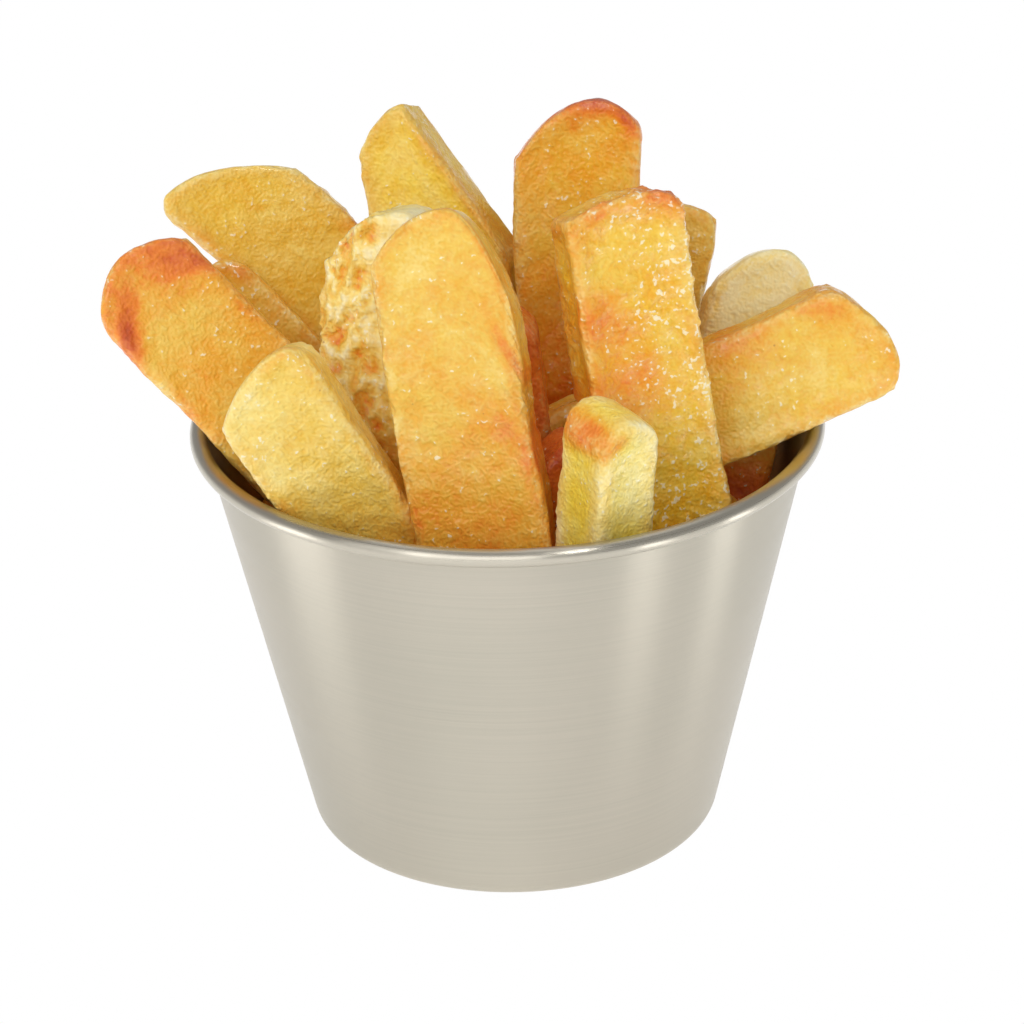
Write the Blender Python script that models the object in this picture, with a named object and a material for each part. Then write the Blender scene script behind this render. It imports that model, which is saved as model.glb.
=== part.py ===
"""Thick-cut potato fries standing in a flared sheet-steel cup.

Metres, +Z up. The origin is the middle of the cup's flat base, on the surface it stands on.
Two solids: the cup, turned from one sheet with a rolled rim, and the fries, a heap that is
fused with the mass of fries below the rim.
"""
import math

import bmesh
import bpy
import numpy as np
from mathutils import Vector

MM = 0.001

# The cup, in mm
CUP_HEIGHT = 66.5
RIM_RADIUS = 48.0
BEAD_RADIUS = 1.35
BASE_RADIUS = 30.8
BASE_CORNER = 4.0
SHEET = 0.6
CUP_SIDES = 72
CORNER_STEPS = 5
NECK_HEIGHT = 2.16
CURL_TURN = 300
CURL_ENTRY = 140
CURL_STEPS = 11
CURL_INNER_STEPS = 6

# The heap, in mm
CLEARANCE = 0.4
HEAP_LEVEL = 49.0
HEAP_SIDES = 32
# Its top: the share of the heap's radius, and the height over its level
HEAP_TOP = ((1.0, 0.0), (0.97, 0.8), (0.6, 2.8), (0.0, 4.0))

# A fry's surface is a grid on a box: places across its width, through its thickness and along it
ACROSS = (-1.0, -0.8, -0.28, 0.28, 0.8, 1.0)
THROUGH = (-1.0, 0.0, 1.0)
ALONG = (0.0, 0.06, 0.3, 0.56, 0.75, 0.88, 0.96, 1.0)
DROP_START = 0.35
# The broad sides sink from the first to the second distance from their edges, in mm
HOLLOW_EDGE = (0.6, 5.0)

# Points closer than this, in metres, are one point
MERGE = 0.00001
SCRAP = 0.000005
SHARP_CORNER = 35

STEEL = (0.58, 0.56, 0.50)
STEEL_ROUGHNESS = 0.32
POTATO = (0.80, 0.42, 0.08)
POTATO_ROUGHNESS = 0.5

BEAD_CENTRE = (RIM_RADIUS - BEAD_RADIUS, CUP_HEIGHT - BEAD_RADIUS)
WALL_TOP = RIM_RADIUS - 2 * BEAD_RADIUS + SHEET
WALL_SLOPE = (WALL_TOP - BASE_RADIUS) / BEAD_CENTRE[1]


def fry(foot, tip, faces, width, thick, crown=0.0, drops=(4.0, 4.0), falls=(2.0, 2.0), edge=2.0,
        sweep=0.0, skin=0.0, bevel=0.0, hollow=0.4):
    """One fry, in mm and degrees.

    foot and tip are the ends of its middle line, and faces is the compass direction of its
    broad side. crown says where across the end its highest point is, from -1 to 1, drops how
    far the end falls away at the left and right corner, and falls how quickly. edge rounds
    the corners, sweep bends it sideways, skin thins one side to a peel edge, bevel is how much
    lower the end is at the back than at the broad side it shows, and hollow is how far the
    broad sides sink in.
    """
    return dict(foot=foot, tip=tip, faces=faces, width=width, thick=thick, crown=crown,
                drops=drops, falls=falls, edge=edge, sweep=sweep, skin=skin, bevel=bevel,
                hollow=hollow)


FRIES = {
    # The front row, against the near wall
    "front_wedge": fry((-14.5, -23.4, 46.8), (-37.8, -28.0, 89.8), -90, 17.6, 8.4, 0.62,
                       (7.5, 2.5), edge=2.2, bevel=4.0),
    "front_tall": fry((-1.5, -30.5, 44.0), (-10.4, -22.6, 111.1), -97, 20.0, 9.5, 0.24,
                      (8.0, 16.0), bevel=3.6),
    "front_stick": fry((12.5, -32.0, 47.0), (15.0, -36.0, 83.5), -55, 10.5, 10.5, -0.2,
                       (3.5, 3.5), edge=1.6),
    "right_tall": fry((24.8, -21.3, 46.0), (15.7, -15.8, 109.3), -72, 18.3, 10.5, 0.2,
                      (2.0, 2.5), bevel=2.0, hollow=1.2),
    "dark_strip": fry((9.5, -19.0, 44.5), (9.0, -19.0, 71.5), -80, 11.0, 9.0),
    # The second row
    "skin_wedge": fry((-11.0, -13.0, 46.0), (-18.4, -10.9, 106.4), -108, 17.0, 11.0, 0.5,
                      (9.0, 2.0), sweep=-4.0, skin=-0.5, bevel=3.2),
    "left_slab": fry((-16.0, -6.0, 46.2), (-57.5, -6.0, 97.3), -68, 18.6, 9.0, 0.0,
                     (6.0, 5.0), bevel=3.2),
    "left_band": fry((-12.0, 7.0, 48.0), (-47.5, 14.2, 83.5), -68, 14.6, 8.5, 0.5,
                     (5.0, 2.0), bevel=1.5),
    "inner_strip": fry((3.0, -8.0, 48.0), (-2.0, -9.0, 87.5), -90, 12.0, 8.0, 0.2,
                       (3.0, 3.0)),
    "right_over_rim": fry((7.6, -8.6, 61.2), (57.1, -4.0, 81.6), -118, 18.4, 9.0, 0.35,
                          (5.4, 3.0), (2.0, 2.0), bevel=1.0, hollow=0.7),
    # The back row that shows from the front
    "half_moon": fry((4.0, 23.5, 47.3), (-46.9, 24.0, 100.2), -68, 19.0, 9.0, -0.75,
                     (2.0, 12.0), bevel=3.0),
    "back_point": fry((-3.0, 10.0, 46.0), (-11.8, 22.4, 109.7), -108, 21.5, 9.0, -0.2,
                      (8.0, 24.0), (2.0, 1.0), bevel=2.4),
    "back_tall": fry((14.5, 4.5, 46.0), (10.9, 10.1, 114.6), -90, 19.5, 10.0, 0.3,
                     (9.0, 5.0), sweep=-1.5, bevel=2.6, hollow=0.6),
    "right_behind": fry((15.5, 18.0, 46.0), (26.1, 20.1, 94.0), -88, 15.0, 8.5, 0.0,
                        (2.0, 1.5), bevel=3.2),
    "right_pale": fry((29.3, 4.5, 42.0), (40.8, 13.8, 88.2), -88, 16.0, 8.0, 0.2,
                      (8.0, 5.0), edge=2.5, bevel=2.0),
    # The far side, which leans on the back of the cup
    "rear_left": fry((-26.5, 20.0, 46.0), (-34.0, 26.0, 77.0), 143, 12.0, 9.0),
    "rear_half_left": fry((-15.5, 30.5, 48.0), (-21.0, 37.5, 81.0), 118, 16.0, 9.0, 0.1,
                          (5.0, 4.0)),
    "rear_middle": fry((-2.5, 35.0, 50.0), (-3.5, 42.0, 77.0), 94, 18.0, 9.5, -0.2,
                       (3.0, 6.0)),
    "rear_half_right": fry((10.5, 32.5, 48.0), (12.5, 41.0, 92.0), 72, 17.0, 9.5),
    "rear_right": fry((23.5, 24.5, 49.0), (25.5, 32.5, 73.0), 48, 14.5, 9.0),
    "rear_inner": fry((9.0, 27.5, 50.0), (11.5, 29.5, 98.0), 88, 15.0, 8.5),
}

# Short fries that fill the cup between the tall ones, seen only from above
FILLERS = {
    "filler_left": fry((-31.0, -12.0, 45.0), (-22.0, -16.0, 61.0), -130, 14.0, 9.0),
    "filler_front": fry((-20.0, -4.0, 44.0), (-2.0, -19.0, 60.0), 60, 15.0, 9.0),
    "filler_middle": fry((-6.0, 1.0, 44.0), (6.0, -3.0, 66.0), -90, 15.0, 8.0),
    "filler_right": fry((33.0, -8.0, 42.0), (27.0, -6.0, 54.0), -20, 15.0, 9.0),
    "filler_back": fry((-18.0, 18.0, 44.0), (-28.0, 8.0, 60.0), 40, 14.0, 9.0),
    "filler_far": fry((0.0, 29.0, 45.0), (-12.0, 26.0, 62.0), 90, 14.0, 9.0),
    "filler_right_back": fry((31.0, 14.0, 43.0), (21.0, 11.0, 58.0), 60, 14.0, 9.0),
    "filler_left_back": fry((-34.0, 8.0, 43.0), (-24.0, 1.0, 57.0), 150, 14.0, 8.0),
}


def ease(start, end, values):
    """Rise smoothly from 0 at start to 1 at end."""
    t = np.clip((values - start) / (end - start), 0.0, 1.0)
    return t * t * (3.0 - 2.0 * t)


def fry_axes(spec):
    """The fry's foot and length, and its directions along, across and out of its broad side."""
    foot = np.array(spec["foot"])
    line = np.array(spec["tip"]) - foot
    length = np.linalg.norm(line)
    along = line / length
    compass = math.radians(spec["faces"])
    out = np.array((math.cos(compass), math.sin(compass), 0.0))
    out = out - np.dot(out, along) * along
    out = out / np.linalg.norm(out)
    return foot, length, along, np.cross(along, out), out


def fry_surface(spec, grid):
    """Place grid points (across -1..1, through -1..1, along 0..1) on the fry's surface, in mm."""
    foot, length, along, across, out = fry_axes(spec)
    half = np.array((spec["width"] / 2, spec["thick"] / 2, length / 2))
    flat = np.stack((grid[:, 0], grid[:, 1], 2 * grid[:, 2] - 1), axis=1) * half
    from_edge = np.sort(half - np.abs(flat), axis=1)[:, 1]
    inner = np.clip(flat, spec["edge"] - half, half - spec["edge"])
    away = flat - inner
    size = np.maximum(np.linalg.norm(away, axis=1, keepdims=True), 1e-9)
    point = inner + spec["edge"] * away / size
    t = (point[:, 2] / half[2] + 1) / 2
    u = point[:, 0] / half[0]
    crown = spec["crown"]
    left = spec["drops"][0] * (np.maximum(crown - u, 0) / (1 + crown)) ** spec["falls"][0]
    right = spec["drops"][1] * (np.maximum(u - crown, 0) / (1 - crown)) ** spec["falls"][1]
    back = spec["bevel"] * (1 - point[:, 1] / half[1]) / 2
    height = point[:, 2] - (left + right + back) * ease(DROP_START, 1.0, t)
    side = point[:, 0] + spec["sweep"] * 4 * t * (1 - t)
    peel = np.clip(u * np.sign(spec["skin"]), 0, 1) ** 2 * abs(spec["skin"])
    sink = spec["hollow"] * ease(*HOLLOW_EDGE, from_edge) * np.sign(grid[:, 1])
    depth = point[:, 1] * (1 - peel) - sink
    return foot + np.outer(height + half[2], along) + np.outer(side, across) + np.outer(depth, out)


def box_grid():
    """The grid's points and its faces, which point outwards."""
    steps = (ACROSS, THROUGH, ALONG)
    last = [len(row) - 1 for row in steps]
    numbers = {}
    points = []
    faces = []

    def corner(place):
        if place not in numbers:
            numbers[place] = len(points)
            points.append([steps[axis][place[axis]] for axis in range(3)])
        return numbers[place]

    for fixed in range(3):
        first, second = [axis for axis in range(3) if axis != fixed]
        for end in (0, last[fixed]):
            for i in range(last[first]):
                for j in range(last[second]):
                    ring = []
                    for di, dj in ((0, 0), (1, 0), (1, 1), (0, 1)):
                        place = [0, 0, 0]
                        place[fixed] = end
                        place[first] = i + di
                        place[second] = j + dj
                        ring.append(corner(tuple(place)))
                    faces.append(ring)
    return np.array(points), faces


def new_object(name, points, faces, home):
    """A mesh object from points in mm, its faces turned outwards."""
    mesh = bpy.data.meshes.new(name)
    mesh.from_pydata([Vector(point) * MM for point in points], [], faces)
    shell = bmesh.new()
    shell.from_mesh(mesh)
    bmesh.ops.recalc_face_normals(shell, faces=shell.faces)
    shell.to_mesh(mesh)
    shell.free()
    thing = bpy.data.objects.new(name, mesh)
    home.objects.link(thing)
    return thing


def turned(name, profile, sides, home):
    """Spin a profile of (radius, height) points in mm, both ends on the axis, round +Z."""
    shell = bmesh.new()
    points = [shell.verts.new((radius * MM, 0.0, height * MM)) for radius, height in profile]
    edges = [shell.edges.new(pair) for pair in zip(points, points[1:])]
    bmesh.ops.spin(shell, geom=points + edges, cent=(0, 0, 0), axis=(0, 0, 1),
                   angle=2 * math.pi, steps=sides, use_merge=True)
    bmesh.ops.remove_doubles(shell, verts=shell.verts, dist=MERGE)
    bmesh.ops.recalc_face_normals(shell, faces=shell.faces)
    mesh = bpy.data.meshes.new(name)
    shell.to_mesh(mesh)
    shell.free()
    thing = bpy.data.objects.new(name, mesh)
    home.objects.link(thing)
    return thing


def arc(centre, radius, start, end, steps):
    """Points on an arc, from the start angle to the end angle in degrees, both ends included."""
    angles = np.radians(np.linspace(start, end, steps + 1))
    return [(centre[0] + radius * math.cos(a), centre[1] + radius * math.sin(a)) for a in angles]


def inner_radius(height):
    """The radius of the cup's inner wall at a height, in mm."""
    return BASE_RADIUS + WALL_SLOPE * height - SHEET * math.hypot(1, WALL_SLOPE)


def cup_profile():
    """The sheet's section: outside from the base's middle up, round the rolled rim, and back inside."""
    lean = math.degrees(math.atan(WALL_SLOPE))
    bend = 90 - lean
    reach = BASE_CORNER * math.tan(math.radians(bend / 2))
    corner = (BASE_RADIUS - reach, BASE_CORNER)
    outside = [(0.0, 0.0)] + arc(corner, BASE_CORNER, -90, -lean, CORNER_STEPS)
    inside = arc(corner, BASE_CORNER - SHEET, -lean, -90, CORNER_STEPS - 1) + [(0.0, SHEET)]
    roll_end = 180 + lean - CURL_TURN
    neck = [(BASE_RADIUS + WALL_SLOPE * height, height)
            for height in (BEAD_CENTRE[1] - NECK_HEIGHT, BEAD_CENTRE[1])]
    curl_inside = arc(BEAD_CENTRE, BEAD_RADIUS - SHEET, CURL_ENTRY, roll_end, CURL_INNER_STEPS)
    curl_outside = arc(BEAD_CENTRE, BEAD_RADIUS, roll_end, 180 - lean, CURL_STEPS)
    return outside + neck + curl_inside + curl_outside + inside


def heap_profile():
    """The mass of fries below the rim: clear of the wall and the floor, with a low crown."""
    floor = SHEET + CLEARANCE
    corner = BASE_CORNER - SHEET
    side = inner_radius(floor + corner) - CLEARANCE
    edge = inner_radius(HEAP_LEVEL) - CLEARANCE
    top = [(edge * share, HEAP_LEVEL + rise) for share, rise in HEAP_TOP]
    return [(0.0, floor), (side - corner, floor), (side, floor + corner), *top]


def keep_biggest_shell(mesh):
    """Drop loose scraps, and fill sealed hollows by dropping their inner skins."""
    shell = bmesh.new()
    shell.from_mesh(mesh)
    seen = set()
    groups = []
    for start in shell.verts:
        if start in seen:
            continue
        group = []
        queue = [start]
        seen.add(start)
        while queue:
            point = queue.pop()
            group.append(point)
            for edge in point.link_edges:
                other = edge.other_vert(point)
                if other not in seen:
                    seen.add(other)
                    queue.append(other)
        groups.append(group)
    groups.sort(key=len)
    extra = [point for group in groups[:-1] for point in group]
    bmesh.ops.delete(shell, geom=extra, context="VERTS")
    bmesh.ops.dissolve_degenerate(shell, edges=shell.edges, dist=SCRAP)
    bmesh.ops.triangulate(shell, faces=shell.faces)
    shell.to_mesh(mesh)
    shell.free()


def finish(thing, colour, roughness, metallic):
    """Give an object its material and smooth shading with sharp corners."""
    material = bpy.data.materials.new(thing.name)
    material.use_nodes = True
    shader = material.node_tree.nodes["Principled BSDF"]
    shader.inputs["Base Color"].default_value = (*colour, 1.0)
    shader.inputs["Roughness"].default_value = roughness
    shader.inputs["Metallic"].default_value = metallic
    thing.data.materials.clear()
    thing.data.materials.append(material)
    thing.data.shade_smooth()
    thing.data.set_sharp_from_angle(angle=math.radians(SHARP_CORNER))


def make_cup(home):
    cup = turned("cup", cup_profile(), CUP_SIDES, home)
    finish(cup, STEEL, STEEL_ROUGHNESS, 1.0)


def make_fries(home):
    """Fuse every fry with the mass below the rim, in one union."""
    loose = bpy.data.collections.new("loose fries")
    home.children.link(loose)
    grid, faces = box_grid()
    for name, spec in {**FRIES, **FILLERS}.items():
        new_object(name, fry_surface(spec, grid), faces, loose)
    heap = turned("heap", heap_profile(), HEAP_SIDES, home)
    union = heap.modifiers.new("fuse", "BOOLEAN")
    union.operation = "UNION"
    union.operand_type = "COLLECTION"
    union.collection = loose
    union.solver = "EXACT"
    bpy.context.view_layer.update()
    evaluated = heap.evaluated_get(bpy.context.evaluated_depsgraph_get())
    fused = bpy.data.meshes.new_from_object(evaluated)
    for thing in [*loose.objects, heap]:
        bpy.data.objects.remove(thing)
    bpy.data.collections.remove(loose)
    keep_biggest_shell(fused)
    fused.name = "fries"
    fries = bpy.data.objects.new("fries", fused)
    home.objects.link(fries)
    finish(fries, POTATO, POTATO_ROUGHNESS, 0.0)


def main():
    for thing in list(bpy.data.objects):
        bpy.data.objects.remove(thing)
    home = bpy.context.scene.collection
    make_cup(home)
    make_fries(home)


main()
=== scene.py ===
"""The looks of the fries in their steel cup: every fry as its own piece, the cup, light and camera."""
import math

import bpy
import numpy as np
from mathutils import Matrix, Vector


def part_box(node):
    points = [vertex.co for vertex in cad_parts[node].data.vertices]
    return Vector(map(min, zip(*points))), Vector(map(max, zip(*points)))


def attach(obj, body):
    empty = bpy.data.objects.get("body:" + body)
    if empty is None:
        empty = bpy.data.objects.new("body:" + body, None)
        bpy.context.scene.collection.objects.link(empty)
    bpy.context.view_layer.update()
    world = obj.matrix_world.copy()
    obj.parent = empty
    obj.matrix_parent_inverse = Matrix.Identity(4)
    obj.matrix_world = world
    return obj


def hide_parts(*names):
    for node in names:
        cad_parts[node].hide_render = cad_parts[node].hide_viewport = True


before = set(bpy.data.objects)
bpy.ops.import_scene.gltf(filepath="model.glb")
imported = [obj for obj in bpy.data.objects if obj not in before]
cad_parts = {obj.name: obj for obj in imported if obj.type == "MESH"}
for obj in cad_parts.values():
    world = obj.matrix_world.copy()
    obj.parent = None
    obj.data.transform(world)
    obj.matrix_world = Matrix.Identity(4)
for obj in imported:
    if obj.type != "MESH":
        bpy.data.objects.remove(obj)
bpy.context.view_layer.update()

MM = 0.001

# The cup, in mm
CUP_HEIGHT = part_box("cup")[1][2] / MM
RIM_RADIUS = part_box("cup")[1][0] / MM
BEAD_RADIUS = 1.35
BASE_RADIUS = 30.8
BASE_CORNER = 4.0
SHEET = 0.6
CUP_SIDES = 320
BEAD_CENTRE = (RIM_RADIUS - BEAD_RADIUS, CUP_HEIGHT - BEAD_RADIUS)
WALL_TOP = RIM_RADIUS - 2 * BEAD_RADIUS + SHEET
WALL_SLOPE = (WALL_TOP - BASE_RADIUS) / BEAD_CENTRE[1]

# The heap under the fries, in mm
HEAP_LEVEL = 47.0
WALL_GAP = 0.35

# The photograph's view, in degrees and mm
CAMERA_HEIGHT_ANGLE = 25.5
CAMERA_ROLL = -1.31
CAMERA_DISTANCE = 760.0
CAMERA_AIM = (0.4, 0.0, 50.2)
CAMERA_LENS = 175.2
SENSOR_WIDTH = 36.0

# Where along a fry its end's slant begins, as a share of its length
DROP_START = 0.35
# The broad sides sink from the first to the second distance from their edges, in mm
HOLLOW_EDGE = (0.6, 5.0)
# How much closer together the rows of faces lie at both ends of a side
END_CROWDING = 0.06

# The sides of the faces, in mm: fries in front, on the far side, and those that fill the cup
CELL = 0.42
FAR_CELL = 0.55
FILLER_CELL = 0.8

# Tones from 0, cream, to 1, dark brown
FILLER_COOK = 0.46
CORE_COOK = 0.52

# The radius left open in the middle of what is turned round the axis, in mm
AXIS_GAP = 0.02
# How far below the bead's middle, and how far inside the rim, fries are pressed off the wall, in mm
BELOW_BEAD = 1.0
INSIDE_RIM = 1.5
# How far round the bead curls, in degrees
CURL = 300

WHITE = (1.0, 1.0, 1.0, 1.0)
# How brightly the floor shows in the steel
FLOOR_GLOW = 0.62
# The strength of the surroundings at the level of the floor and higher up
HORIZON_LEVEL = 0.38
SKY_LEVEL = 0.44


def fry(foot, tip, faces, width, thick, crown=0.0, drops=(4.0, 4.0), falls=(2.0, 2.0), edge=2.0,
        sweep=0.0, skin=0.0, bevel=0.0, hollow=0.4, cook=0.36, yellow=0.3, ends=0.1, gloss=0.0,
        frost=0.1, low=0.0, toast_and_shade=(), cell=CELL):
    """One fry, in mm and degrees: first the same form as its solid has, then its looks.

    foot and tip are the middles of its ends, faces the compass angle of its broad face, width and
    thick its section, and edge the roundness of its edges. crown is where across its tip the end
    is highest, drops how far the end falls to either side of it, and falls how sharply. sweep
    bends it sideways, bevel cuts its back short, hollow sinks its broad faces, and skin says on
    which side, and how much, it thins to potato skin.

    cook is the base tone from 0, cream, to 1, dark brown, low how much painted shade browns its
    foot low in the cup, lightening it where negative, and ends how much browner its end. yellow is
    how clear a yellow it is, gloss how blistered and oily, which also sets where white glints are
    painted, and frost how much of it is speckled with pale crust. Each patch is browned crust or
    painted shade, as (place across, place along, radius in mm, strength). cell is the side of its faces.
    """
    return dict(foot=foot, tip=tip, faces=faces, width=width, thick=thick, crown=crown,
                drops=drops, falls=falls, edge=edge, sweep=sweep, skin=skin, bevel=bevel,
                hollow=hollow, cook=cook, yellow=yellow, ends=ends, gloss=gloss, frost=frost,
                low=low, toast_and_shade=toast_and_shade, cell=cell)


FRIES = {
    # The front row, against the near wall
    "front_wedge": fry((-14.5, -23.4, 46.8), (-37.8, -28.0, 89.8), -90, 17.6, 8.4, 0.62,
                       (7.5, 2.5), edge=2.2, bevel=4.0, cook=0.22, yellow=0.2, ends=0.0, low=0.2,
                       toast_and_shade=((-0.75, 0.55, 2.5, 0.14), (-0.5, 0.95, 5.0, -0.05))),
    # The browner patches on its right edge are painted shade as well as browned crust.
    "front_tall": fry((-1.5, -30.5, 44.0), (-10.4, -22.6, 111.1), -97, 20.0, 9.5, 0.24,
                      (8.0, 16.0), bevel=3.6, cook=0.33, yellow=0.2, ends=0.0, low=0.2,
                      toast_and_shade=((1.0, 0.78, 4.0, 0.24), (1.0, 0.5, 8.0, 0.16), (-0.6, 0.85, 6.0, -0.03))),
    "front_stick": fry((12.5, -32.0, 47.0), (15.0, -36.0, 83.5), -55, 10.5, 10.5, -0.2,
                       (3.5, 3.5), edge=1.6, cook=0.1, yellow=0.8, ends=0.0,
                       toast_and_shade=((-0.9, 0.99, 2.2, 0.4), (-0.5, 0.93, 1.6, 0.3))),
    "right_tall": fry((24.8, -21.3, 46.0), (15.7, -15.8, 109.3), -72, 18.3, 10.5, 0.2,
                      (2.0, 2.5), bevel=2.0, hollow=1.2, cook=0.34, yellow=0.9, ends=0.08,
                      gloss=1.0, frost=0.15, low=0.0,
                      toast_and_shade=((-0.55, 0.72, 4.5, 0.22), (-0.45, 0.52, 6.5, 0.22), (0.5, 0.75, 7.0, -0.04),
                             (0.3, 0.45, 7.0, -0.08), (0.6, 1.0, 4.0, 0.15))),
    # Its deep orange-brown tone is painted shade of the crevice it sits in.
    "dark_strip": fry((9.5, -19.0, 44.5), (9.0, -19.0, 71.5), -80, 11.0, 9.0, cook=0.6),
    # The second row
    "skin_wedge": fry((-11.0, -13.0, 46.0), (-18.4, -10.9, 106.4), -108, 17.0, 11.0, 0.5,
                      (9.0, 2.0), sweep=-4.0, skin=-0.5, bevel=3.2, cook=0.03, yellow=0.1,
                      ends=0.0, low=0.5),
    "left_slab": fry((-16.0, -6.0, 46.2), (-57.5, -6.0, 97.3), -68, 18.6, 9.0, 0.0,
                     (6.0, 5.0), bevel=3.2, cook=0.38, yellow=0.1, ends=0.0, low=-0.14,
                     toast_and_shade=((-0.75, 0.90, 3.5, 0.40), (0.65, 0.92, 4.0, 0.24), (0.2, 0.98, 6.0, 0.16))),
    "left_band": fry((-12.0, 7.0, 48.0), (-47.5, 14.2, 83.5), -68, 14.6, 8.5, 0.5,
                     (5.0, 2.0), bevel=1.5, cook=0.36, yellow=0.2, ends=0.05, low=0.5),
    # Its deep orange-brown tone is painted shade of the crevice it sits in.
    "inner_strip": fry((3.0, -8.0, 48.0), (-2.0, -9.0, 87.5), -90, 12.0, 8.0, 0.2,
                       (3.0, 3.0), cook=0.55, yellow=0.1, ends=0.05, low=0.2),
    "right_over_rim": fry((7.6, -8.6, 61.2), (57.1, -4.0, 81.6), -118, 18.4, 9.0, 0.35,
                          (5.4, 3.0), (2.0, 2.0), bevel=1.0, hollow=0.7, cook=0.31, yellow=0.4,
                          ends=0.08, toast_and_shade=((-0.7, 0.93, 3.5, 0.14), (-1.0, 0.6, 6.0, 0.16))),
    # The back row that shows from the front
    "half_moon": fry((4.0, 23.5, 47.3), (-46.9, 24.0, 100.2), -68, 19.0, 9.0, -0.75,
                     (2.0, 12.0), bevel=3.0, cook=0.27, yellow=0.6, ends=0.0, low=0.15,
                     toast_and_shade=((0.95, 0.75, 5.0, 0.1), (0.1, 0.87, 1.0, 0.15))),
    "back_point": fry((-3.0, 10.0, 46.0), (-11.8, 22.4, 109.7), -108, 21.5, 9.0, -0.2,
                      (8.0, 24.0), (2.0, 1.0), bevel=2.4, cook=0.2, yellow=0.9, ends=0.12, low=0.15,
                      toast_and_shade=((-0.9, 0.75, 4.0, 0.06), (0.6, 0.72, 3.5, 0.14))),
    "back_tall": fry((14.5, 4.5, 46.0), (10.9, 10.1, 114.6), -90, 19.5, 10.0, 0.3,
                     (9.0, 5.0), sweep=-1.5, bevel=2.6, hollow=0.6, cook=0.38, yellow=0.6,
                     ends=0.14, frost=0.15, low=0.3, toast_and_shade=((0.3, 1.03, 4.5, 0.42),)),
    "right_behind": fry((15.5, 18.0, 46.0), (26.1, 20.1, 94.0), -88, 15.0, 8.5, 0.0,
                        (2.0, 1.5), bevel=3.2, cook=0.31, yellow=0.1, ends=0.05),
    # Its dark foot is painted shade inside the cup.
    "right_pale": fry((29.3, 4.5, 42.0), (40.8, 13.8, 88.2), -88, 16.0, 8.0, 0.2,
                      (8.0, 5.0), edge=2.5, bevel=2.0, cook=0.02, yellow=0.1, ends=0.03, low=0.75,
                      toast_and_shade=((0.9, 0.9, 3.0, 0.1),)),
    # The far side, which leans on the back of the cup
    "rear_left": fry((-26.5, 20.0, 46.0), (-34.0, 26.0, 77.0), 143, 12.0, 9.0, cook=0.34,
                     ends=0.05, cell=FAR_CELL),
    "rear_half_left": fry((-15.5, 30.5, 48.0), (-21.0, 37.5, 81.0), 118, 16.0, 9.0, 0.1,
                          (5.0, 4.0), cook=0.28, yellow=0.4, ends=0.05, cell=FAR_CELL),
    "rear_middle": fry((-2.5, 35.0, 50.0), (-3.5, 42.0, 77.0), 94, 18.0, 9.5, -0.2,
                       (3.0, 6.0), cook=0.34, yellow=0.3, ends=0.12, cell=FAR_CELL),
    "rear_half_right": fry((10.5, 32.5, 48.0), (12.5, 41.0, 92.0), 72, 17.0, 9.5, cook=0.3,
                           yellow=0.4, ends=0.05, toast_and_shade=((0.5, 0.8, 4.0, 0.16),), cell=FAR_CELL),
    "rear_right": fry((23.5, 24.5, 49.0), (25.5, 32.5, 73.0), 48, 14.5, 9.0, cook=0.36,
                      ends=0.05, cell=FAR_CELL),
    "rear_inner": fry((9.0, 27.5, 50.0), (11.5, 29.5, 98.0), 88, 15.0, 8.5, cook=0.36,
                      ends=0.06, cell=FAR_CELL),
}

# Short fries that fill the cup between the tall ones
FILLERS = {
    "filler_left": fry((-31.0, -12.0, 45.0), (-22.0, -16.0, 61.0), -130, 14.0, 9.0),
    "filler_front": fry((-20.0, -4.0, 44.0), (-2.0, -19.0, 60.0), 60, 15.0, 9.0),
    "filler_middle": fry((-6.0, 1.0, 44.0), (6.0, -3.0, 66.0), -90, 15.0, 8.0),
    "filler_right": fry((33.0, -8.0, 42.0), (27.0, -6.0, 54.0), -20, 15.0, 9.0),
    "filler_back": fry((-18.0, 18.0, 44.0), (-28.0, 8.0, 60.0), 40, 14.0, 9.0),
    "filler_far": fry((0.0, 29.0, 45.0), (-12.0, 26.0, 62.0), 90, 14.0, 9.0),
    "filler_right_back": fry((31.0, 14.0, 43.0), (21.0, 11.0, 58.0), 60, 14.0, 9.0),
    "filler_left_back": fry((-34.0, 8.0, 43.0), (-24.0, 1.0, 57.0), 150, 14.0, 8.0),
}


def ease(start, end, values):
    """Rise smoothly from 0 at start to 1 at end."""
    t = np.clip((values - start) / (end - start), 0.0, 1.0)
    return t * t * (3.0 - 2.0 * t)


class Ripple:
    """Smooth seeded noise in space, about -1 to 1, repeating only far apart."""

    SIZE = 24

    def __init__(self, seed):
        draw = np.random.default_rng(seed)
        slopes = draw.normal(size=(self.SIZE,) * 3 + (3,))
        self.slopes = slopes / np.linalg.norm(slopes, axis=-1, keepdims=True)

    def __call__(self, points, wavelength, shift=0.0):
        place = points / wavelength + shift
        cell = np.floor(place).astype(int)
        part = place - cell
        blend = part * part * part * (part * (part * 6 - 15) + 10)
        total = 0.0
        for corner in np.ndindex(2, 2, 2):
            corner = np.array(corner)
            index = (cell + corner) % self.SIZE
            slope = self.slopes[index[:, 0], index[:, 1], index[:, 2]]
            weight = np.prod(np.where(corner, blend, 1 - blend), axis=1)
            total = total + weight * np.sum(slope * (part - corner), axis=1)
        return 1.6 * total


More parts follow.
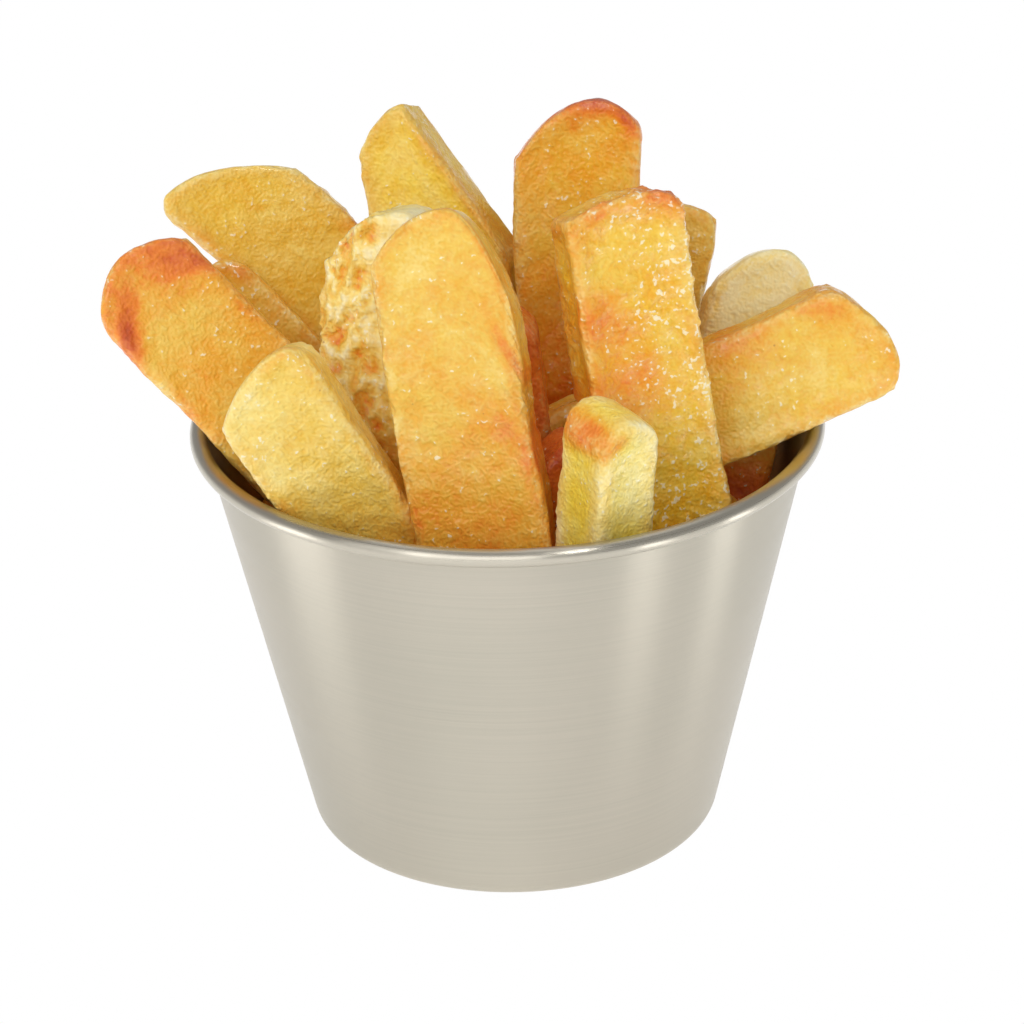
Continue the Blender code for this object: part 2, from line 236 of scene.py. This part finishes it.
def box_grid(steps):
    """Grid points on a box from three rows of places, and faces that point outwards."""
    last = [len(row) - 1 for row in steps]
    index = -np.ones([n + 1 for n in last], dtype=int)
    shell = np.zeros(index.shape, dtype=bool)
    for axis in range(3):
        for end in (0, last[axis]):
            cut = [slice(None)] * 3
            cut[axis] = end
            shell[tuple(cut)] = True
    places = np.argwhere(shell)
    index[shell] = np.arange(len(places))
    points = np.stack([np.asarray(steps[axis])[places[:, axis]] for axis in range(3)], axis=1)
    faces = []
    for fixed in range(3):
        first, second = [axis for axis in range(3) if axis != fixed]
        for end in (0, last[fixed]):
            sheet = np.take(index, end, axis=fixed)
            ring = np.stack((sheet[:-1, :-1], sheet[1:, :-1], sheet[1:, 1:], sheet[:-1, 1:]), axis=-1)
            ring = ring.reshape(-1, 4)
            outward = (end > 0) == (fixed != 1)
            faces.append(ring if outward else ring[:, ::-1])
    return points, np.concatenate(faces)


def fry_axes(spec):
    """The fry's foot, length and directions along, across and out of its broad face."""
    foot = np.array(spec["foot"])
    line = np.array(spec["tip"]) - foot
    length = np.linalg.norm(line)
    along = line / length
    compass = math.radians(spec["faces"])
    out = np.array((math.cos(compass), math.sin(compass), 0.0))
    out = out - np.dot(out, along) * along
    out = out / np.linalg.norm(out)
    return foot, length, along, np.cross(along, out), out


def skin_share(spec, flat):
    """How far each point lies on the side of a fry that is still potato skin, from 0 to 1."""
    return ease(-0.7, 0.1, flat[:, 0] * np.sign(spec["skin"]) / (spec["width"] / 2))


def skin_folds(flat, ripple, shift):
    """How deep each point lies in the skin's long folds, from 0."""
    return np.abs(ripple(flat * (1.0, 1.0, 0.5), 3.4, shift + 11))


def fry_relief(spec, flat, inset, away, ripple, shift):
    """How far each point of the skin stands out, in mm: dents, crust, blisters and grain."""
    rise = 0.34 * ripple(flat, 13.0, shift) + 0.16 * ripple(flat, 4.5, shift)
    rise += 0.09 * ripple(flat, 1.9, shift) + 0.05 * ripple(flat, 1.1, shift)
    crust = np.exp(-(inset / 0.9) ** 2)
    rise += crust * (0.12 + 0.34 * ripple(flat, 2.5, shift + 5) + 0.22 * ripple(flat, 1.3, shift + 9))
    narrow = 0.7 * (1 - np.abs(away[:, 1]))
    rise -= narrow * spec["hollow"] * ease(*HOLLOW_EDGE, inset)
    blister_zone = ease(0.0, 0.5, ripple(flat, 10.0, shift + 3) + 0.35 * spec["gloss"])
    blister = ease(0.0, 0.7, ripple(flat, 1.7, shift + 7))
    rise += (0.12 + 0.26 * spec["gloss"]) * blister_zone * blister
    if spec["skin"]:
        folds = skin_folds(flat, ripple, shift)
        small = np.abs(ripple(flat * (1.0, 1.0, 0.6), 1.7, shift + 21))
        rise += skin_share(spec, flat) * (0.6 - 1.7 * folds - 0.8 * small)
    return rise


def fry_surface(spec, grid, ripple, shift):
    """The fry's skin in mm, with each point's nearness to an edge, place along and flat place."""
    foot, length, along, across, out = fry_axes(spec)
    half = np.array((spec["width"] / 2, spec["thick"] / 2, length / 2))
    flat = np.stack((grid[:, 0], grid[:, 1], 2 * grid[:, 2] - 1), axis=1) * half
    inset = np.sort(half - np.abs(flat), axis=1)[:, 1]
    inner = np.clip(flat, spec["edge"] - half, half - spec["edge"])
    away = flat - inner
    away = away / np.maximum(np.linalg.norm(away, axis=1, keepdims=True), 1e-9)
    point = inner + spec["edge"] * away
    t = (point[:, 2] / half[2] + 1) / 2
    u = point[:, 0] / half[0]
    crown = spec["crown"]
    left = spec["drops"][0] * (np.maximum(crown - u, 0) / (1 + crown)) ** spec["falls"][0]
    right = spec["drops"][1] * (np.maximum(u - crown, 0) / (1 - crown)) ** spec["falls"][1]
    back = spec["bevel"] * (1 - point[:, 1] / half[1]) / 2
    point = point + away * fry_relief(spec, flat, inset, away, ripple, shift)[:, None]
    height = point[:, 2] - (left + right + back) * ease(DROP_START, 1.0, t)
    wave = 0.35 * ripple(flat * (0, 0, 1), 21.0, shift + 2)
    side = point[:, 0] + spec["sweep"] * 4 * t * (1 - t) + wave
    peel = np.clip(u * np.sign(spec["skin"]), 0, 1) ** 2 * abs(spec["skin"])
    sink = spec["hollow"] * ease(*HOLLOW_EDGE, inset) * away[:, 1]
    depth = point[:, 1] * (1 - peel) - sink
    place = foot + np.outer(height + half[2], along) + np.outer(side, across) + np.outer(depth, out)
    return place, inset, t, u, flat


def keep_inside_cup(place):
    """Press points that would enter the wall back to its inner side."""
    radius = np.hypot(place[:, 0], place[:, 1])
    limit = inner_radius(place[:, 2]) - WALL_GAP
    in_cup = (place[:, 2] < BEAD_CENTRE[1] - BELOW_BEAD) & (radius < RIM_RADIUS - INSIDE_RIM)
    scale = np.where(in_cup & (radius > limit), limit / np.maximum(radius, 1e-6), 1.0)
    place[:, :2] *= scale[:, None]
    return place


def inner_radius(height):
    """The radius of the cup's inner wall at a height, in mm."""
    return BASE_RADIUS + WALL_SLOPE * height - SHEET * math.hypot(1, WALL_SLOPE)


def fry_tone(spec, inset, t, u, flat, ripple, shift):
    """How cooked, with painted shade mixed in, how yellow, how frosted and how oily each point looks,
    each from 0 to 1.
    """
    mottle = ripple(flat, 8.0, shift + 13)
    fine = ripple(flat, 2.6, shift + 15)
    length = 2 * np.max(flat[:, 2])
    from_end = length * (1 - t)
    end = np.exp(-(from_end / 4.0) ** 2) * spec["ends"] * (1 + 0.6 * mottle)
    patch = ripple(flat, 5.0, shift + 29)
    frost = np.exp(-inset ** 2) * (0.5 + 0.6 * patch) + spec["frost"] * (1 + 1.5 * patch)
    # Painted shade: the foot, low among the other fries, is browner and more orange.
    foot = spec["low"] * (1 - ease(0.1, 0.65, t))
    cook = spec["cook"] + 0.07 * mottle + 0.025 * fine + end + foot
    beside_edge = np.exp(-(inset - 1.3) ** 2)
    cook += beside_edge * 0.09 * (0.4 + 1.4 * ripple(flat, 6.0, shift + 17))
    # Patches of browned crust, and on some fries patches of painted shade.
    for place_u, place_t, radius, strength in spec["toast_and_shade"]:
        gap = np.hypot((u - place_u) * spec["width"] / 2, (t - place_t) * length)
        ragged = gap / radius * (1 + 0.35 * ripple(flat, 4.0, shift + 19))
        cook = cook + strength * np.exp(-ragged ** 2)
    # Painted shade: the skin is browner the deeper a point lies in its folds.
    if spec["skin"]:
        cook = cook + 0.5 * skin_share(spec, flat) * skin_folds(flat, ripple, shift)
    yellow = spec["yellow"] * ease(0.3, 4.0, inset) * (1 + 0.7 * mottle)
    oil = 0.5 + 0.5 * spec["gloss"] * ease(-0.8, 0.5, u) + 0.4 * ripple(flat, 9.0, shift + 23)
    return np.clip(cook, 0, 1), np.clip(yellow, 0, 1), np.clip(frost, 0, 1), np.clip(oil, 0, 1)


def new_mesh_piece(name, place, faces, material, replaced):
    """A shown piece from points in mm, riding on the cup's body."""
    mesh = bpy.data.meshes.new(name)
    mesh.vertices.add(len(place))
    mesh.vertices.foreach_set("co", (place * MM).astype(np.float32).ravel())
    mesh.loops.add(faces.size)
    mesh.loops.foreach_set("vertex_index", faces.astype(np.int32).ravel())
    mesh.polygons.add(len(faces))
    mesh.polygons.foreach_set("loop_start", np.arange(0, faces.size, faces.shape[1], dtype=np.int32))
    mesh.update(calc_edges=True)
    mesh.validate()
    mesh.shade_smooth()
    mesh.materials.append(material)
    piece = bpy.data.objects.new(name, mesh)
    bpy.context.scene.collection.objects.link(piece)
    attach(piece, "root")
    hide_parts(replaced)
    return piece


def paint(piece, **values):
    """Store named values from 0 to 1 on the piece's points."""
    for name, row in values.items():
        layer = piece.data.attributes.new(name, "FLOAT", "POINT")
        layer.data.foreach_set("value", np.asarray(row, dtype=np.float32))


def rows(length, cell):
    """Evenly spaced places from 0 to 1, closer together near both ends."""
    count = max(4, round(length / cell))
    t = np.linspace(0, 1, count + 1)
    return t - END_CROWDING * np.sin(2 * np.pi * t) / np.pi


def make_fry(name, spec, number, material):
    """One fry as a piece of its own, with the tones of its surface."""
    length = fry_axes(spec)[1]
    wide, thick, long = [rows(side, spec["cell"]) for side in (spec["width"], spec["thick"], length)]
    grid, faces = box_grid((2 * wide - 1, 2 * thick - 1, long))
    ripple = Ripple(100 + number)
    shift = 3.7 * number
    place, inset, t, u, flat = fry_surface(spec, grid, ripple, shift)
    piece = new_mesh_piece(name, keep_inside_cup(place), faces, material, "fries")
    cook, yellow, frost, oil = fry_tone(spec, inset, t, u, flat, ripple, shift)
    peel = skin_share(spec, flat) if spec["skin"] else np.zeros(len(u))
    paint(piece, cook=cook, yellow=yellow, frost=frost, peel=peel, oil=oil)
    return piece


def turned(profile, sides):
    """Points in mm and faces of a profile of (radius, height) spun round +Z."""
    angles = np.linspace(0, 2 * np.pi, sides, endpoint=False)
    radius, height = np.array(profile).T
    place = np.stack((np.outer(radius, np.cos(angles)), np.outer(radius, np.sin(angles)),
                      np.outer(height, np.ones(sides))), axis=-1).reshape(-1, 3)
    ring = np.arange(len(profile) - 1)[:, None] * sides
    turn = np.arange(sides)[None, :]
    step = (turn + 1) % sides
    faces = np.stack((ring + turn, ring + step, ring + sides + step, ring + sides + turn), axis=-1)
    return place, faces.reshape(-1, 4)


def arc(centre, radius, start, end, steps):
    """Points on an arc, angles in degrees, both ends included."""
    angles = np.radians(np.linspace(start, end, steps + 1))
    return [(centre[0] + radius * math.cos(a), centre[1] + radius * math.sin(a)) for a in angles]


def line(start, end, steps):
    """Points between two points, both ends left out."""
    start, end = np.array(start), np.array(end)
    return [tuple(start + (end - start) * i / steps) for i in range(1, steps)]


def cup_profile():
    """The sheet's section: up the outside from the base's middle, round the rim, and back inside."""
    lean = math.degrees(math.atan(WALL_SLOPE))
    reach = BASE_CORNER * math.tan(math.radians((90 - lean) / 2))
    corner = (BASE_RADIUS - reach, BASE_CORNER)
    outside = arc(corner, BASE_CORNER, -90, -lean, 14)
    inside = arc(corner, BASE_CORNER - SHEET, -lean, -90, 10)
    roll_end = 180 + lean - CURL
    top = (BASE_RADIUS + WALL_SLOPE * BEAD_CENTRE[1], BEAD_CENTRE[1])
    curl_inside = arc(BEAD_CENTRE, BEAD_RADIUS - SHEET, 140, roll_end, 14)
    curl_outside = arc(BEAD_CENTRE, BEAD_RADIUS, roll_end, 180 - lean, 40)
    base = [(AXIS_GAP, 0.0)] + line((AXIS_GAP, 0.0), outside[0], 6)
    floor = line(inside[-1], (AXIS_GAP, SHEET), 6) + [(AXIS_GAP, SHEET)]
    wall = line(outside[-1], top, 26)
    back = line(curl_outside[-1], inside[0], 26)
    return base + outside + wall + [top] + curl_inside + curl_outside + back + inside + floor


def make_cup(material):
    """The cup as one sheet."""
    place, faces = turned(cup_profile(), CUP_SIDES)
    return new_mesh_piece("cup_sheet", place, faces, material, "cup")


def make_core(material):
    """The mass of fries under the ones that show, lumpy on top."""
    floor = SHEET + 0.4
    side = BASE_CORNER - SHEET
    low = inner_radius(floor + side) - 0.5
    edge = inner_radius(HEAP_LEVEL) - 0.5
    peak = (AXIS_GAP, HEAP_LEVEL + 4)
    profile = [(AXIS_GAP, floor), (low - side, floor), (low, floor + side)]
    profile += line((low, floor + side), (edge, HEAP_LEVEL), 20) + [(edge, HEAP_LEVEL)]
    profile += line((edge, HEAP_LEVEL), peak, 60) + [peak]
    place, faces = turned(profile, 160)
    ripple = Ripple(7)
    on_top = ease(HEAP_LEVEL - 1.0, HEAP_LEVEL + 0.5, place[:, 2])
    lumps = 2.0 * ripple(place * (1, 1, 0), 9.0) + 0.6 * ripple(place, 3.0, 4.0)
    place[:, 2] += on_top * lumps
    piece = new_mesh_piece("heap_core", place, faces, material, "fries")
    count = len(place)
    even = dict(cook=CORE_COOK, yellow=0.1, frost=0.1, peel=0.0, oil=0.3)
    paint(piece, **{layer: np.full(count, value) for layer, value in even.items()})
    return piece


def linear(red, green, blue):
    """A colour given from 0 to 255 as it looks on screen, as shader values."""
    parts = [value / 255 for value in (red, green, blue)]
    return tuple(p / 12.92 if p <= 0.04045 else ((p + 0.055) / 1.055) ** 2.4 for p in parts) + (1.0,)


class Nodes:
    """Short calls that add shader nodes to one tree and join them up."""

    def __init__(self, tree):
        self.tree = tree

    def add(self, kind, inputs=None, **settings):
        node = self.tree.nodes.new(kind)
        for name, value in settings.items():
            setattr(node, name, value)
        for name, value in (inputs or {}).items():
            socket = node.inputs[name]
            if isinstance(value, bpy.types.NodeSocket):
                self.tree.links.new(value, socket)
            else:
                socket.default_value = value
        return node

    def math(self, operation, first, second=0.0, clamp=False):
        return self.add("ShaderNodeMath", {0: first, 1: second}, operation=operation,
                        use_clamp=clamp).outputs[0]

    def blend(self, amount, first, second, mode="MIX"):
        return self.add("ShaderNodeMix", {0: amount, 6: first, 7: second}, data_type="RGBA",
                        blend_type=mode).outputs[2]

    def noise(self, where, scale, detail=2.0, roughness=0.5):
        return self.add("ShaderNodeTexNoise", {"Vector": where, "Scale": scale, "Detail": detail,
                                               "Roughness": roughness}).outputs["Fac"]

    def spread(self, value, low, high, start=0.0, end=1.0):
        return self.add("ShaderNodeMapRange", {"Value": value, "From Min": low, "From Max": high,
                                               "To Min": start, "To Max": end}).outputs["Result"]

    def painted(self, name):
        return self.add("ShaderNodeAttribute", attribute_name=name).outputs["Fac"]

    def ramp(self, value, stops):
        node = self.add("ShaderNodeValToRGB", {"Fac": value})
        parts = node.color_ramp.elements
        while len(parts) < len(stops):
            parts.new(0.5)
        for part, (place, colour) in zip(parts, stops):
            part.position = place
            part.color = colour
        return node.outputs["Color"]


FRIED_TONES = (
    (0.00, linear(252, 240, 190)),
    (0.15, linear(250, 224, 136)),
    (0.30, linear(240, 198, 86)),
    (0.45, linear(238, 170, 54)),
    (0.60, linear(236, 132, 40)),
    (0.78, linear(204, 88, 40)),
    (1.00, linear(126, 54, 32)),
)


def fried_potato():
    """Fried potato: tone from cream to brown with painted shade mixed in, clear yellow flesh, pale
    crust, specks, oil and painted white glints.
    """
    material = bpy.data.materials.new("fried_potato")
    material.use_nodes = True
    n = Nodes(material.node_tree)
    shader = material.node_tree.nodes["Principled BSDF"]
    where = n.add("ShaderNodeTexCoord").outputs["Object"]
    cook = n.painted("cook")
    peel = n.painted("peel")
    oil = n.painted("oil")
    patchy = n.noise(where, 170.0, 2.0, 0.6)
    lumps = n.spread(n.noise(where, 800.0, 1.0, 0.6), 0.30, 0.70)
    grain = n.spread(n.noise(where, 2100.0, 0.0, 0.6), 0.26, 0.74)
    crust = n.math("ADD", n.math("MULTIPLY", lumps, 0.55), n.math("MULTIPLY", grain, 0.45))
    tone = n.math("ADD", cook, n.spread(patchy, 0.3, 0.7, -0.05, 0.05))
    tone = n.math("ADD", tone, n.spread(crust, 0.0, 1.0, 0.06, -0.06))
    wrinkles = n.spread(n.noise(where, 480.0, 2.0, 0.6), 0.32, 0.68)
    # Painted shade and highlight on the skin: browner in the wrinkles' valleys, paler on their ridges.
    painted_fold_shading = n.math("MULTIPLY", peel, n.spread(wrinkles, 0.0, 1.0, 0.3, -0.1))
    tone = n.math("ADD", tone, painted_fold_shading, clamp=True)
    colour = n.ramp(tone, FRIED_TONES)
    clear = n.math("MULTIPLY", n.painted("yellow"), 0.85)
    colour = n.blend(clear, colour, n.blend(1.0, colour, linear(255, 248, 112), "MULTIPLY"))
    speckle = n.math("MULTIPLY", n.painted("frost"), n.spread(crust, 0.25, 0.85, 0.1, 1.0))
    speckle = n.math("MULTIPLY", speckle, n.spread(tone, 0.35, 0.65, 1.0, 0.3))
    colour = n.blend(n.math("MULTIPLY", speckle, 0.55), colour, linear(253, 236, 178))
    # Painted highlight: near-white glints where the crust stands highest and the oil is thickest.
    painted_glint = n.math("ADD", crust, n.math("MULTIPLY", oil, 0.35))
    colour = n.blend(n.spread(painted_glint, 1.04, 1.14, 0.0, 0.6), colour, linear(255, 250, 228))
    speck_field = n.add("ShaderNodeTexVoronoi", {"Vector": where, "Scale": 300.0})
    small = n.spread(speck_field.outputs["Distance"], 0.03, 0.07, 1.0, 0.0)
    chosen = n.add("ShaderNodeSeparateColor", {"Color": speck_field.outputs["Color"]}).outputs["Red"]
    speck = n.math("MULTIPLY", small, n.spread(chosen, 0.90, 0.92))
    colour = n.blend(n.math("MULTIPLY", speck, 0.5), colour, linear(160, 88, 34))
    n.tree.links.new(colour, shader.inputs["Base Color"])
    wet = n.math("MULTIPLY", n.spread(n.noise(where, 520.0, 1.0), 0.38, 0.62), oil, clamp=True)
    n.tree.links.new(n.spread(wet, 0.0, 1.0, 0.46, 0.2), shader.inputs["Roughness"])
    n.tree.links.new(n.math("MULTIPLY", wet, 0.8), shader.inputs["Coat Weight"])
    height = n.math("ADD", crust, n.math("MULTIPLY", n.math("MULTIPLY", wrinkles, peel), 2.0))
    bump = n.add("ShaderNodeBump", {"Height": height, "Strength": 0.7, "Distance": 0.00025})
    n.tree.links.new(bump.outputs["Normal"], shader.inputs["Normal"])
    shader.inputs["Coat Roughness"].default_value = 0.12
    shader.inputs["IOR"].default_value = 1.42
    return material


def brushed_steel():
    """Sheet steel brushed round the cup, smoother on the rolled rim, and faintly smudged."""
    material = bpy.data.materials.new("brushed_steel")
    material.use_nodes = True
    n = Nodes(material.node_tree)
    shader = material.node_tree.nodes["Principled BSDF"]
    where = n.add("ShaderNodeTexCoord").outputs["Object"]
    height = n.add("ShaderNodeSeparateXYZ", {0: where}).outputs["Z"]
    smooth_rim = n.spread(height, (BEAD_CENTRE[1] - 2.0) * MM, (BEAD_CENTRE[1] - 0.8) * MM)
    along = n.add("ShaderNodeMapping", {"Vector": where, "Scale": (14.0, 14.0, 2600.0)}).outputs[0]
    long_lines = n.noise(along, 1.0, 2.0, 0.6)
    fine = n.add("ShaderNodeMapping", {"Vector": where, "Scale": (60.0, 60.0, 9000.0)}).outputs[0]
    fine_lines = n.noise(fine, 1.0, 1.0, 0.6)
    lines = n.math("ADD", n.math("MULTIPLY", long_lines, 0.6), n.math("MULTIPLY", fine_lines, 0.4))
    smudge = n.noise(where, 26.0, 1.0)
    shade = n.spread(lines, 0.3, 0.7, 0.93, 1.05)
    steel = n.blend(n.spread(smudge, 0.35, 0.65), linear(179, 174, 161), linear(184, 178, 165))
    shaded = n.add("ShaderNodeVectorMath", {0: steel, 3: shade}, operation="SCALE").outputs[0]
    n.tree.links.new(shaded, shader.inputs["Base Color"])
    rough = n.math("ADD", n.spread(lines, 0.3, 0.7, 0.34, 0.46), n.math("MULTIPLY", smooth_rim, -0.1))
    n.tree.links.new(rough, shader.inputs["Roughness"])
    depth = n.math("MULTIPLY", lines, n.spread(smooth_rim, 0.0, 1.0, 1.0, 0.15))
    bump = n.add("ShaderNodeBump", {"Height": depth, "Strength": 0.25, "Distance": 0.00005})
    n.tree.links.new(bump.outputs["Normal"], shader.inputs["Normal"])
    shader.inputs["Metallic"].default_value = 1.0
    shader.inputs["Anisotropic"].default_value = 0.85
    shader.inputs["Anisotropic Rotation"].default_value = 0.25
    tangent = n.add("ShaderNodeTangent", direction_type="RADIAL", axis="Z")
    n.tree.links.new(tangent.outputs[0], shader.inputs["Tangent"])
    return material


def make_stage():
    """A white floor that looks plain, lights up the steel and leaves the fries' own shade alone."""
    mesh = bpy.data.meshes.new("floor")
    size, level = 6.0, -0.0002
    corners = [(x * size, y * size, level) for x, y in ((-1, -1), (1, -1), (1, 1), (-1, 1))]
    mesh.from_pydata(corners, [], [(0, 1, 2, 3)])
    floor = bpy.data.objects.new("floor", mesh)
    bpy.context.scene.collection.objects.link(floor)
    material = bpy.data.materials.new("white_floor")
    material.use_nodes = True
    shader = material.node_tree.nodes["Principled BSDF"]
    shader.inputs["Base Color"].default_value = (0.9, 0.9, 0.9, 1.0)
    shader.inputs["Roughness"].default_value = 0.9
    shader.inputs["Emission Color"].default_value = WHITE
    n = Nodes(material.node_tree)
    rays = n.add("ShaderNodeLightPath").outputs
    glow = n.spread(rays["Is Diffuse Ray"], 0.0, 1.0, FLOOR_GLOW, 0.0)
    n.tree.links.new(glow, shader.inputs["Emission Strength"])
    plain = n.add("ShaderNodeEmission", {"Color": WHITE, "Strength": 1.0}).outputs[0]
    seen = n.add("ShaderNodeMixShader", {0: rays["Is Camera Ray"], 1: shader.outputs[0], 2: plain})
    n.tree.links.new(seen.outputs[0], material.node_tree.nodes["Material Output"].inputs["Surface"])
    mesh.materials.append(material)


def area_lamp(name, place, size, power, turn):
    """A rectangular lamp: place and size in metres, power in watts, turn as angles."""
    lamp = bpy.data.lights.new(name, "AREA")
    lamp.shape = "RECTANGLE"
    lamp.size, lamp.size_y = size
    lamp.energy = power
    thing = bpy.data.objects.new(name, lamp)
    bpy.context.scene.collection.objects.link(thing)
    thing.location = place
    thing.rotation_euler = turn


def soft_box(name, place, size, power, aim=(0.0, 0.0, 0.05)):
    """A lamp aimed at the cup."""
    turn = (Vector(aim) - Vector(place)).to_track_quat("-Z", "Y").to_euler()
    area_lamp(name, place, size, power, turn)


def floor_strip(name, compass, width, power):
    """A lamp on the floor, straight out from the cup, that shows as an upright band in the steel."""
    near, length, rise = 0.12, 0.4, 0.003
    turn = math.radians(compass)
    middle = near + length / 2
    place = (middle * math.cos(turn), middle * math.sin(turn), rise)
    area_lamp(name, place, (length, width), power, (math.pi, 0.0, turn))


def make_light():
    """White surroundings, soft lamps, and strips that draw upright bands left and right."""
    world = bpy.data.worlds.new("studio")
    bpy.context.scene.world = world
    world.use_nodes = True
    n = Nodes(world.node_tree)
    way = n.add("ShaderNodeTexCoord").outputs["Generated"]
    parts = n.add("ShaderNodeSeparateXYZ", {0: way}).outputs
    level = n.spread(parts["Z"], 0.0, 0.4, HORIZON_LEVEL, SKY_LEVEL)
    back = world.node_tree.nodes["Background"]
    back.inputs["Color"].default_value = WHITE
    n.tree.links.new(level, back.inputs["Strength"])
    soft_box("key_light", (-0.75, -0.75, 1.1), (0.7, 0.7), 1.0)
    soft_box("top_light", (0.1, 0.5, 1.3), (1.0, 0.8), 2.0)
    soft_box("left_light", (-0.95, -0.95, 0.6), (0.8, 0.6), 1.5)
    soft_box("glint_light", (0.3, -0.55, 0.85), (0.12, 0.12), 1.2)
    soft_box("camera_light", (-0.3, -1.28, 0.68), (1.2, 0.9), 7.4)
    floor_strip("near_strip", -44.0, 0.03, 0.1)
    floor_strip("right_strip", -11.0, 0.03, 0.1)
    floor_strip("left_strip", 196.0, 0.06, 0.16)


def make_camera():
    """The photograph's camera: a long lens from a little above, turned slightly."""
    rise = math.radians(CAMERA_HEIGHT_ANGLE)
    aim = Vector(CAMERA_AIM) * MM
    back = Vector((0.0, -math.cos(rise), math.sin(rise)))
    right = Vector((1.0, 0.0, 0.0))
    up = back.cross(right)
    roll = Matrix.Rotation(math.radians(CAMERA_ROLL), 3, back)
    right = roll @ right
    up = roll @ up
    data = bpy.data.cameras.new("camera")
    data.lens = CAMERA_LENS
    data.sensor_width = SENSOR_WIDTH
    data.clip_start = 0.05
    camera = bpy.data.objects.new("camera", data)
    bpy.context.scene.collection.objects.link(camera)
    turn = Matrix((right, up, back)).transposed().to_4x4()
    camera.matrix_world = Matrix.Translation(aim + back * CAMERA_DISTANCE * MM) @ turn
    bpy.context.scene.camera = camera


def main():
    """The whole scene."""
    potato = fried_potato()
    make_cup(brushed_steel())
    make_core(potato)
    for number, (name, spec) in enumerate(FRIES.items()):
        make_fry(name, spec, number, potato)
    for number, (name, spec) in enumerate(FILLERS.items(), start=len(FRIES)):
        make_fry(name, {**spec, "cell": FILLER_CELL, "cook": FILLER_COOK}, number, potato)
    make_stage()
    make_light()
    make_camera()
    bpy.context.scene.view_settings.view_transform = "Standard"


main()
